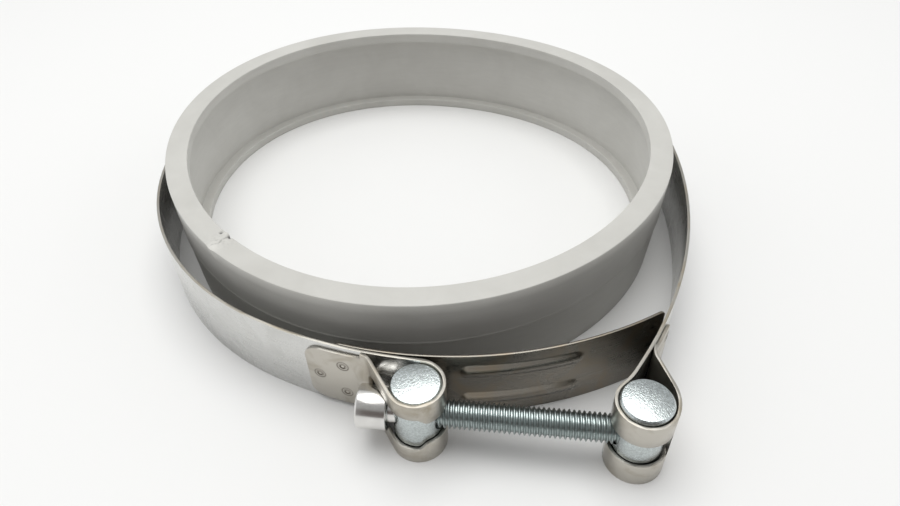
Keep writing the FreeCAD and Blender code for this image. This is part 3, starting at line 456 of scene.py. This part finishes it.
def circle_through(first, second, third):
    """The upright circle through three points: its centre and radius."""
    squares = [point.x ** 2 + point.y ** 2 for point in (first, second, third)]
    doubled = 2 * (first.x * (second.y - third.y) + second.x * (third.y - first.y)
                   + third.x * (first.y - second.y))
    centre = Vector(((squares[0] * (second.y - third.y) + squares[1] * (third.y - first.y)
                      + squares[2] * (first.y - second.y)) / doubled,
                     (squares[0] * (third.x - second.x) + squares[1] * (first.x - third.x)
                      + squares[2] * (second.x - first.x)) / doubled, 0))
    return centre, math.hypot(first.x - centre.x, first.y - centre.y)


def outer_circle(points, headings):
    """The circle that the outer face of a bent strip lies on, touched at three headings."""
    touched = []
    for heading in headings:
        way = Vector((math.cos(math.radians(heading)), math.sin(math.radians(heading)), 0))
        touched.append(max(points, key=way.dot))
    return circle_through(*touched)


def round_edges(bm, offset, degrees=40):
    """Round every edge that is sharper than an angle."""
    sharp = [edge for edge in bm.edges if len(edge.link_faces) == 2
             and edge.calc_face_angle(0) > math.radians(degrees)]
    bmesh.ops.bevel(bm, geom=sharp, offset=offset, offset_type="OFFSET", segments=2, profile=0.5,
                    affect="EDGES", clamp_overlap=True, material=-1)


def spun(outline, centre, axis, steps):
    """Spin a line of points a full turn round an axis."""
    bm = bmesh.new()
    verts = [bm.verts.new(point) for point in outline]
    for first, second in zip(verts, verts[1:]):
        bm.edges.new((first, second))
    bmesh.ops.spin(bm, geom=bm.verts[:] + bm.edges[:], cent=centre, axis=axis, angle=TURN, steps=steps,
                   use_merge=True, use_duplicate=False)
    bmesh.ops.remove_doubles(bm, verts=bm.verts, dist=TINY)
    bmesh.ops.recalc_face_normals(bm, faces=bm.faces)
    return bm


# ---------------------------------------------------------------- the liner

def liner_corners(liner):
    """The corners of the liner's section, as radius and height."""
    web = LINER_RADIUS - liner.wall
    lip = web - liner.lip_deep
    crease = LINER_TALL - liner.crease_drop
    return [
        (LINER_RADIUS - liner.foot_inset, 0),
        (LINER_RADIUS - liner.crease_inset - liner.ridge * 0.4, crease - liner.ridge * 3),
        (LINER_RADIUS - liner.crease_inset + liner.ridge, crease),
        (LINER_RADIUS - liner.crease_inset + liner.ridge * 0.2, crease + liner.ridge * 2),
        (LINER_RADIUS, LINER_TALL),
        (lip, LINER_TALL),
        (lip, LINER_TALL - liner.top_lip),
        (web, LINER_TALL - liner.top_lip),
        (web, liner.bottom_lip),
        (lip, liner.bottom_lip),
        (lip, 0),
    ]


def out_of_round(heading):
    """How the soft liner has settled: its radius here over its mean radius, less one."""
    return sum(even * math.cos(count * heading) + odd * math.sin(count * heading)
               for count, even, odd in SETTLED_WAVES)


def settle(bm):
    """Bend the round liner to the shape that it has settled in, its foot a little to the front left."""
    for vert in bm.verts:
        heading = math.atan2(vert.co.y, vert.co.x)
        low = 1 - vert.co.z / LINER_TALL
        grown = 1 + out_of_round(heading)
        vert.co.x *= grown
        vert.co.y *= grown
        vert.co += FOOT_SHIFT * LINER_RADIUS * low


def joint_faults(liner):
    """The joint's faults: place along the rim and out, width, then how it rises, juts out, lightens."""
    inner = LINER_RADIUS - liner.wall - liner.lip_deep
    return (
        (-1.6 * MM, inner + 1.0 * MM, 1.5 * MM, 0.6, -0.4, 0.3),
        (0.7 * MM, inner + 0.3 * MM, 0.8 * MM, -0.6, 0.4, -0.55),
        (-3.6 * MM, inner + 1.2 * MM, 0.7 * MM, -0.6, 0.4, -0.55),
        (1.2 * MM, LINER_RADIUS - 1.0 * MM, 2.4 * MM, 0.55, 0.8, 0.4),
    )


def mark_joint(bm, liner):
    """Where the liner's ends are joined: a torn curl at the inner edge, a pinched lump at the outer one.
    Also paints shade onto the outer wall below the top edge.
    """
    heading = Vector((math.cos(liner.joint_angle), math.sin(liner.joint_angle), 0))
    ahead = UP.cross(heading)
    half_long, deep, fade, skin = 8 * MM, 4 * MM, 3 * MM, 0.5 * MM
    seam_wide, seam_wander, fuss_wide = 0.3 * MM, 0.6 * MM, 4 * MM
    coarse, fine = 9 * MM, 6.5 * MM
    cut_deep = 2.2 * MM
    lumps, grains, wanders = 900, 2300, 500
    # Painted shade: the lower value darkens the outer wall as shade; the plain value leaves the rest as it
    # is.
    outer_wall_shade, plain_wall = 0.34, 0.5

    def near(edge, reach):
        middle = (edge.verts[0].co + edge.verts[1].co) / 2
        return (abs(middle.dot(ahead)) < reach and middle.dot(heading) > 0
                and middle.z > LINER_TALL - cut_deep)

    for reach in (coarse, fine):
        edges = [edge for edge in bm.edges if near(edge, reach) and edge.calc_length() > skin]
        bmesh.ops.subdivide_edges(bm, edges=edges, cuts=3, use_grid_fill=True)

    joint_mark_and_shade = bm.verts.layers.float.new("joint_mark_and_shade")
    bmesh.ops.recalc_face_normals(bm, faces=bm.faces[:])
    bm.normal_update()
    for vert in bm.verts:
        along, out = vert.co.dot(ahead), vert.co.dot(heading)
        # Painted shade: the outer wall below the top edge gets the lower value, which darkens it as shade.
        outside = vert.co.z < LINER_TALL - skin and vert.normal.dot(vert.co.xy.to_3d().normalized()) > 0.3
        vert[joint_mark_and_shade] = outer_wall_shade if outside else plain_wall
        if abs(along) > half_long or out < 0 or vert.co.z < LINER_TALL - deep:
            continue
        top = min(max((vert.co.z - LINER_TALL + fade) / fade, 0), 1)
        rough = noise.noise(vert.co * lumps) * 0.5 + noise.noise(vert.co * grains) * 0.3
        rough *= math.exp(-(along / fuss_wide) ** 2)
        wander = noise.noise(Vector((out * wanders, 0, 0))) * seam_wander
        seam = math.exp(-((along - wander) / seam_wide) ** 2)
        rise, jut, light = 0.3 * rough - 0.3 * seam, 0.0, 0.45 * rough - 0.25 * seam
        for place_along, place_out, wide, rises, juts, lightens in joint_faults(liner):
            hump = math.exp(-((along - place_along) ** 2 + (out - place_out) ** 2) / wide ** 2)
            rise += rises * hump
            jut += juts * hump
            light += lightens * hump
        vert[joint_mark_and_shade] += top * light
        vert.co += (UP * rise + heading * jut) * (top * MM)


class CLAMP_OT_liner(bpy.types.Operator):
    """Model the rubber liner ring with its joint"""
    bl_idname = "clamp.liner"
    bl_label = "Liner Ring"

    def execute(self, context):
        liner = context.scene.clamp_liner
        bm = bmesh.new()
        corners = [bm.verts.new((radius, 0, level)) for radius, level in liner_corners(liner)]
        bm.faces.new(corners)
        bmesh.ops.bevel(bm, geom=corners, offset=liner.edge, offset_type="OFFSET", segments=3, profile=0.5,
                        affect="VERTICES", clamp_overlap=True, material=-1)
        bmesh.ops.delete(bm, geom=bm.faces[:], context="FACES_ONLY")
        long_edges = [edge for edge in bm.edges if edge.calc_length() > 3 * MM]
        bmesh.ops.subdivide_edges(bm, edges=long_edges, cuts=3)
        bmesh.ops.spin(bm, geom=bm.verts[:] + bm.edges[:], cent=(0, 0, 0), axis=UP, angle=TURN,
                       steps=liner.steps, use_merge=True, use_duplicate=False)
        bmesh.ops.remove_doubles(bm, verts=bm.verts, dist=TINY)
        mark_joint(bm, liner)
        settle(bm)
        bmesh.ops.recalc_face_normals(bm, faces=bm.faces)
        material = rubber_material(context.scene.clamp_finish)
        piece = make_piece("liner_shell", bm, material, CLAMP_BODY, 50)
        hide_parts("liner_ring")
        return {"FINISHED"}


# ---------------------------------------------------------------- the band and its marks

def weld_mark(name, tree, near, material, radius):
    """A spot weld's mark on the nearest face: a raised ring round a small pit."""
    place, normal, _, _ = tree.find_nearest(near)
    across = UP.cross(normal).normalized()
    points = [place + across * (out * radius) + normal * (rise * radius) for out, rise in WELD_SECTION]
    bm = spun(points, place, normal, WELD_STEPS)
    if sum(face.normal.dot(normal) for face in bm.faces) < 0:
        bmesh.ops.reverse_faces(bm, faces=bm.faces[:])
    ring = bm.verts.layers.float.new("ring")
    for vert in bm.verts:
        vert[ring] = (vert.co - place).length / radius
    return make_piece(name, bm, material, CLAMP_BODY, 60)


def ease_slot_step(bm, axis, steel):
    """Turn the step between the wide and the narrow slot in a loop into a smooth sweep."""
    near = TRUNNION_RADIUS + steel.slot_near
    low, high = TRUNNION_RADIUS * 0.5, TRUNNION_RADIUS * 1.1
    nearly_along, sharp, whole = 0.9, 1.2, 1.001

    def is_step(edge):
        first, second = (vert.co for vert in edge.verts)
        off = (first + second).xy / 2 - axis.xy
        return (abs(first.z - second.z) < TINY and off.length < near
                and abs((second - first).xy.normalized().dot(off.normalized())) > nearly_along
                and low < abs(first.z - BOLT_LEVEL) < high
                and edge.calc_face_angle(0) > sharp)

    steps = [edge for edge in bm.edges if is_step(edge)]
    heights = sorted(abs(edge.verts[0].co.z - BOLT_LEVEL) for edge in steps)
    if not heights:
        raise RuntimeError("the loop has no slot step")
    narrow, wide = heights[0], heights[-1]
    middle = sum(((edge.verts[0].co + edge.verts[1].co) / 2 for edge in steps), Vector()) / len(steps)
    out = Vector((middle.x - axis.x, middle.y - axis.y, 0)).normalized()
    reach = steel.slot_round / TRUNNION_RADIUS
    slack = 0.02 * MM
    for step in range(-SLOT_STEPS, SLOT_STEPS + 1):
        plane = Matrix.Rotation(reach * step / SLOT_STEPS, 3, "Z") @ UP.cross(out)
        faces = [face for face in bm.faces if (face.calc_center_median() - axis).xy.length < near
                 and (face.calc_center_median() - axis).dot(out) > 0]
        edges = {edge for face in faces for edge in face.edges}
        verts = {vert for face in faces for vert in face.verts}
        bmesh.ops.bisect_plane(bm, geom=[*verts, *edges, *faces], dist=TINY, plane_co=axis, plane_no=plane)
    for vert in bm.verts:
        off = vert.co - axis
        if off.xy.length > near or off.dot(out) < 0:
            continue
        turn = math.atan2(out.cross(off).z, out.dot(off)) / reach
        rise = vert.co.z - BOLT_LEVEL
        if abs(turn) > whole or not narrow - slack < abs(rise) < wide + slack:
            continue
        sweep = 0.5 + 0.5 * math.sin(turn * math.pi / 2)
        target = wide + (narrow - wide) * sweep
        vert.co.z = BOLT_LEVEL + math.copysign(target, rise)
    bmesh.ops.remove_doubles(bm, verts=bm.verts, dist=TINY * 2)


class CLAMP_OT_band(bpy.types.Operator):
    """Finish the folded band with eased edges and spot weld marks"""
    bl_idname = "clamp.band"
    bl_label = "Band"

    @staticmethod
    def left_face(bm, steel):
        """The circle of the band's own outer face under the left tab: its centre and radius."""
        tab = [vert.co for vert in bm.verts
               if steel.tab_from < vert.co.x < steel.tab_to and vert.co.y < steel.front]
        centre, radius = outer_circle(tab, LEFT_HEADINGS)
        return centre, radius - steel.tab_lift

    def lengthen_tab(self, bm, steel):
        """Slide the left tab's end further round the band."""
        self.left, self.left_radius = self.left_face(bm, steel)
        self.right, self.right_radius = outer_circle(
            [vert.co.copy() for vert in bm.verts if vert.co.x > steel.right_bend], RIGHT_HEADINGS)
        middle = (steel.tab_from + steel.tab_to) / 2
        clear = self.left_radius + 0.05 * MM
        for vert in bm.verts:
            off = (vert.co - self.left).xy
            if middle > vert.co.x and off.length > clear and vert.co.y < steel.front:
                share = (middle - vert.co.x) / (middle - steel.tab_from)
                off.rotate(Matrix.Rotation(-steel.tab_longer * share / self.left_radius, 2))
                vert.co.xy = self.left.xy + off

    def sort_faces(self, bm, steel):
        """Give each face its steel: the band, the folded ends, or a sheared edge; the left tab's end faces
        get the sheared edge's darker steel as painted shade.
        """
        lift = 0.3 * MM
        left_loop = BOLT_CENTRE.x + 2 * TRUNNION_RADIUS
        right_loop = BOLT_HIGH.x - 2.4 * TRUNNION_RADIUS
        for face in bm.faces:
            middle = face.calc_center_median()
            in_front = middle.y < steel.front
            off_left = (middle - self.left).xy
            folded = in_front and (middle.x < 0 and off_left.length > self.left_radius + lift
                                   or 0 < middle.x < left_loop)
            folded = folded or (middle.x > right_loop and middle.y < steel.front * 0.8
                                and (middle - self.right).xy.length > self.right_radius + lift)
            # Painted shade: the left tab's end faces take the darker sheared-edge steel as a shadow line.
            tab_end_shade = (folded and middle.x < steel.tab_to
                       and abs(face.normal.xy.dot(off_left.normalized())) < 0.5)
            face.material_index = 2 if tab_end_shade or abs(face.normal.z) > 0.3 else int(folded)

    def execute(self, context):
        steel = context.scene.clamp_steel
        finish = context.scene.clamp_finish
        bm = solid_copy("band")
        tree = BVHTree.FromBMesh(bm)
        ease_slot_step(bm, PLAIN_AXIS, steel)
        round_edges(bm, steel.edge)
        self.lengthen_tab(bm, steel)
        self.sort_faces(bm, steel)
        materials = [steel_material("band_steel", finish.steel, finish.steel_stain, 0.2, 0.34),
                     steel_material("loop_steel", finish.loop, finish.loop_stain, 0.24, 0.4),
                     steel_material("cut_edge_and_shade", finish.cut_edge_and_shade, finish.loop_stain, 0.34, 0.5)]
        piece = make_piece("band_strip", bm, materials, CLAMP_BODY, 30)
        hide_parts("band")
        middle = BRIDGE_HIGH.z / 2
        spread = steel.weld_spread
        scorch = scorch_material(finish)
        marks = (("left_end", steel.weld_end, 0),
                 ("left_upper", steel.weld_left, spread), ("left_lower", steel.weld_left, -spread),
                 ("right_upper", steel.weld_right, spread), ("right_lower", steel.weld_right, -spread))
        for name, near, rise in marks:
            weld_mark("weld_" + name, tree, Vector(near) + UP * (middle + rise), scorch, steel.weld_radius)
        return {"FINISHED"}


def rib_rise(along, level, steel):
    """How far the plate is pressed out at a place along it and a level, from its two ribs."""
    rise = 0.0
    for centre in (steel.rib_upper, steel.rib_lower):
        past = max(steel.rib_from - along, along - steel.rib_to, 0)
        off = math.hypot(past, level - centre) / (steel.rib_wide / 2)
        if off < 1:
            rise = max(rise, steel.rib_proud * (1 - off ** 2) ** 1.5)
    return rise


class CLAMP_OT_bridge(bpy.types.Operator):
    """Press the bridge plate behind the bolt from thin sheet, with two ribs"""
    bl_idname = "clamp.bridge"
    bl_label = "Bridge Plate"

    def execute(self, context):
        finish = context.scene.clamp_finish
        steel = context.scene.clamp_steel
        corners = [vert.co for vert in frame["nodes"]["bridge_plate"].data.vertices]
        rim = [co for co in corners if co.z > BRIDGE_HIGH.z - 0.01 * MM]
        first, last = min(rim, key=lambda co: co.x), max(rim, key=lambda co: co.x)
        centre, radius = circle_through(first, max(rim, key=(last - first).cross(UP).dot), last)
        turns = [math.atan2(co.y - centre.y, co.x - centre.x) for co in corners]
        left, right = min(turns), max(turns)
        wide, tall = radius * (right - left), BRIDGE_HIGH.z
        trunnion_turn = math.atan2(-math.sqrt(radius ** 2 - (BOLT_CENTRE.x - centre.x) ** 2),
                                   BOLT_CENTRE.x - centre.x)
        origin = radius * (trunnion_turn - left)
        bm = bmesh.new()
        bmesh.ops.create_grid(bm, x_segments=240, y_segments=72, size=0.5)
        for vert in bm.verts:
            along, level = vert.co.x + 0.5, (vert.co.y + 0.5) * tall
            corner = max(steel.plate_corner - min(level, tall - level), 0)
            cut = steel.plate_corner - math.sqrt(steel.plate_corner ** 2 - corner ** 2)
            reach = cut + along * (wide - 2 * cut)
            proud = rib_rise(reach - origin, level, steel)
            turn = left + reach / radius
            out = radius + proud
            vert.co = centre + Vector((out * math.cos(turn), out * math.sin(turn), level))
        bmesh.ops.recalc_face_normals(bm, faces=bm.faces)
        if sum(face.normal.dot(face.calc_center_median() - centre) for face in bm.faces) < 0:
            bmesh.ops.reverse_faces(bm, faces=bm.faces[:])
        bmesh.ops.solidify(bm, geom=bm.faces[:], thickness=steel.plate_thick)
        bmesh.ops.recalc_face_normals(bm, faces=bm.faces)
        round_edges(bm, steel.edge)
        # Painted shade: the plate's base colour is darkened for the shade behind the bolt.
        material = steel_material("bridge_steel", finish.plate, finish.plate_stain, 0.22, 0.34, 0.12)
        piece = make_piece("bridge_sheet", bm, material, CLAMP_BODY, 40)
        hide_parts("bridge_plate")
        return {"FINISHED"}


class CLAMP_OT_trunnions(bpy.types.Operator):
    """Finish the two trunnion barrels"""
    bl_idname = "clamp.trunnions"
    bl_label = "Trunnions"

    def execute(self, context):
        material = zinc_material(context.scene.clamp_finish)
        for node in ("trunnion_plain", "trunnion_threaded"):
            bm = solid_copy(node)
            round_edges(bm, context.scene.clamp_steel.barrel_edge, 30)
            piece = make_piece(node + "_barrel", bm, material, CLAMP_BODY, 30)
            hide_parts(node)
        return {"FINISHED"}


# ---------------------------------------------------------------- the bolt

def bolt_point(along, out):
    """A point of the bolt's section: a distance along its axis and a radius, on its upper side."""
    return BOLT_CENTRE + BOLT_AXIS * along + UP * out


def thread_bmesh(bolt, begin, end):
    """The thread between two places along the bolt, flat at both ends."""
    depth, pitch = bolt.thread_depth, bolt.pitch
    crest, root = pitch / 8, pitch / 5
    flank = (pitch - crest - root) / 2
    outline = ((0, -depth), (flank, 0), (flank + crest, 0), (2 * flank + crest, -depth),
               (pitch, -depth))
    bm = bmesh.new()
    verts = [bm.verts.new(bolt_point(begin - pitch + along, bolt.thread_radius + sink))
             for along, sink in outline]
    for first, second in zip(verts, verts[1:]):
        bm.edges.new((first, second))
    steps = THREAD_STEPS
    turns = math.ceil((end - begin) / pitch) + 2
    bmesh.ops.spin(bm, geom=bm.verts[:] + bm.edges[:], cent=BOLT_CENTRE, axis=BOLT_AXIS,
                   dvec=BOLT_AXIS * (pitch / steps), angle=TURN * turns, steps=steps * turns,
                   use_merge=False, use_duplicate=False)
    bmesh.ops.remove_doubles(bm, verts=bm.verts, dist=TINY)
    for along, side in ((begin, -1), (end, 1)):
        bmesh.ops.bisect_plane(bm, geom=bm.verts[:] + bm.edges[:] + bm.faces[:], dist=TINY / 10,
                               plane_co=bolt_point(along, 0), plane_no=BOLT_AXIS * side, clear_outer=True)
    bmesh.ops.holes_fill(bm, edges=bm.edges, sides=0)
    bmesh.ops.recalc_face_normals(bm, faces=bm.faces)
    return bm


def head_bmesh(bolt):
    """The head with its hex socket, and the bare shank under it."""
    face = -(TRUNNION_RADIUS + bolt.head_gap)
    free = face - bolt.head_long
    bevel = bolt.head_bevel
    shank = bolt.thread_radius - bolt.thread_depth * 0.3
    fillet = 0.3 * MM
    inside = 2 * MM
    corner = bolt.socket_flats / math.sqrt(3)
    rim = corner + 0.5 * MM
    quarter = [math.radians(degrees) for degrees in (0, 30, 60, 90)]
    outline = [bolt_point(free, rim)]
    outline += [bolt_point(free + bevel * (1 - math.sin(turn)), HEAD_RADIUS - bevel * (1 - math.cos(turn)))
                for turn in reversed(quarter)]
    small = bevel * 0.4
    outline += [bolt_point(face - small * (1 - math.sin(turn)), HEAD_RADIUS - small * (1 - math.cos(turn)))
                for turn in quarter]
    outline += [bolt_point(face, shank + fillet), bolt_point(face + fillet, shank),
                bolt_point(inside, shank), bolt_point(inside, 0)]
    bm = spun(outline, BOLT_CENTRE, BOLT_AXIS, HEAD_STEPS)
    place = Matrix.Translation(bolt_point(free, 0)) @ BOLT_AXIS.to_track_quat("Z", "Y").to_matrix().to_4x4()
    hexagon = bmesh.ops.create_circle(bm, cap_ends=False, segments=6, radius=corner, matrix=place)["verts"]
    sides = list({edge for vert in hexagon for edge in vert.link_edges})
    bmesh.ops.subdivide_edges(bm, edges=sides, cuts=7)
    rims = [edge for edge in bm.edges if len(edge.link_faces) < 2]
    hex_rim = [edge for edge in rims if not edge.link_faces]
    bmesh.ops.bridge_loops(bm, edges=rims)
    walls = bmesh.ops.extrude_edge_only(bm, edges=hex_rim)["geom"]
    deep = [item for item in walls if isinstance(item, bmesh.types.BMVert)]
    bmesh.ops.translate(bm, verts=deep, vec=BOLT_AXIS * bolt.socket_deep)
    bmesh.ops.contextual_create(bm, geom=[item for item in walls if isinstance(item, bmesh.types.BMEdge)
                                          and len(item.link_faces) == 1])
    bmesh.ops.recalc_face_normals(bm, faces=bm.faces)
    return bm


class CLAMP_OT_bolt(bpy.types.Operator):
    """Model the screw with its thread, polished head and hex socket"""
    bl_idname = "clamp.bolt"
    bl_label = "Bolt"

    def execute(self, context):
        bolt = context.scene.clamp_bolt
        finish = context.scene.clamp_finish
        spacing = (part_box("trunnion_threaded")[0].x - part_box("trunnion_plain")[0].x) / BOLT_AXIS.x
        end = spacing + TRUNNION_RADIUS - bolt.end_inset
        thread = make_piece("bolt_thread", thread_bmesh(bolt, 0, end), thread_material(finish), SCREW_BODY,
                            25)
        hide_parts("bolt")
        make_piece("bolt_head", head_bmesh(bolt), head_material(finish), SCREW_BODY, 35)
        return {"FINISHED"}


# ---------------------------------------------------------------- the stage

def overhead_lamp(stage):
    """The large soft lamp above, aimed at the middle of the ring."""
    data = bpy.data.lights.new("overhead_softbox", "AREA")
    data.shape = "RECTANGLE"
    data.size, data.size_y = stage.lamp_wide, stage.lamp_deep
    data.energy = stage.lamp_power
    data.color = stage.lamp_tint
    lamp = bpy.data.objects.new("overhead_softbox", data)
    lamp.location = stage.lamp_place
    lamp.rotation_mode = "QUATERNION"
    lamp.rotation_quaternion = (-Vector(stage.lamp_place)).to_track_quat("-Z", "Y")
    bpy.context.collection.objects.link(lamp)


def studio_world(stage):
    """A bright room, darker and browner low in front where the maker stands."""
    world = bpy.data.worlds.new("studio")
    world.use_nodes = True
    nodes = Nodes(world.node_tree)
    texture = nodes.node("ShaderNodeTexCoord")
    way = nodes.node("ShaderNodeSeparateXYZ", {"Vector": texture.outputs["Generated"]})
    front = nodes.ramp(way.outputs["Z"], FRONT_ROOM)
    back = nodes.ramp(way.outputs["Z"], BACK_ROOM)
    to_right = nodes.stretch(way.outputs["X"], -0.1, 0.3, 1.0, 0.7, smooth=True)
    behind = nodes.stretch(way.outputs["Y"], -0.15, 0.3, smooth=True)
    seen = nodes.mix(behind, front, nodes.mix(1.0, back, to_right, "MULTIPLY"))
    aside = nodes.node("ShaderNodeMath", {0: way.outputs["X"]}, operation="ABSOLUTE")
    beside = nodes.stretch(aside.outputs[0], 0.45, 0.85, smooth=True)
    background = nodes.tree.nodes["Background"]
    nodes.link(nodes.mix(beside, seen, stage.side_glow), background.inputs["Color"])
    background.inputs["Strength"].default_value = stage.room
    return world


class CLAMP_OT_stage(bpy.types.Operator):
    """Set up the floor, lamps, surroundings and camera"""
    bl_idname = "clamp.stage"
    bl_label = "Stage"

    def execute(self, context):
        stage = context.scene.clamp_stage
        bm = bmesh.new()
        bmesh.ops.create_grid(bm, x_segments=1, y_segments=1, size=stage.floor_half)
        mesh = bpy.data.meshes.new("floor")
        bm.to_mesh(mesh)
        bm.free()
        floor = bpy.data.objects.new("floor", mesh)
        context.collection.objects.link(floor)
        surface = Surface("floor_paper", roughness=0.75, specular_ior_level=0.25)
        base = surface.mix(surface.cloud(scale=3, detail=3), stage.floor, toned(stage.floor, 0.985))
        mesh.materials.append(surface.finish(base))

        context.scene.world = studio_world(stage)
        overhead_lamp(stage)

        camera_data = bpy.data.cameras.new("camera")
        camera_data.sensor_width = SENSOR_WIDE
        camera_data.lens = stage.lens
        camera = bpy.data.objects.new("camera", camera_data)
        context.collection.objects.link(camera)
        forward = Vector((0, math.cos(stage.camera_tilt), -math.sin(stage.camera_tilt)))
        level_up = Vector((0, math.sin(stage.camera_tilt), math.cos(stage.camera_tilt)))
        lean, upright = math.sin(stage.camera_roll), math.cos(stage.camera_roll)
        right = RIGHT * upright + level_up * lean
        up = level_up * upright - RIGHT * lean
        turn = Matrix((right, up, -forward)).transposed()
        camera.matrix_world = Matrix.Translation(stage.camera_place) @ turn.to_4x4()
        context.scene.camera = camera
        context.scene.view_settings.view_transform = "Standard"
        return {"FINISHED"}


class CLAMP_PT_panel(bpy.types.Panel):
    """The clamp's pieces and settings"""
    bl_idname = "CLAMP_PT_panel"
    bl_label = "Band Clamp"
    bl_space_type = "VIEW_3D"
    bl_region_type = "UI"
    bl_category = "Band Clamp"

    def draw(self, context):
        for operator in OPERATORS:
            self.layout.operator(operator.bl_idname)
        for attribute, group in SETTINGS.items():
            box = self.layout.box()
            for name in group.__annotations__:
                box.prop(getattr(context.scene, attribute), name)


OPERATORS = (CLAMP_OT_stage, CLAMP_OT_liner, CLAMP_OT_band, CLAMP_OT_bridge, CLAMP_OT_trunnions,
             CLAMP_OT_bolt)
CLASSES = (*SETTINGS.values(), *OPERATORS, CLAMP_PT_panel)


def register():
    for cls in CLASSES:
        bpy.utils.register_class(cls)
    for attribute, group in SETTINGS.items():
        setattr(bpy.types.Scene, attribute, PointerProperty(type=group))


def unregister():
    for attribute in SETTINGS:
        delattr(bpy.types.Scene, attribute)
    for cls in reversed(CLASSES):
        bpy.utils.unregister_class(cls)


def main():
    register()
    bpy.ops.clamp.stage()
    bpy.ops.clamp.liner()
    bpy.ops.clamp.band()
    bpy.ops.clamp.bridge()
    bpy.ops.clamp.trunnions()
    bpy.ops.clamp.bolt()


if __name__ == "__main__":
    main()
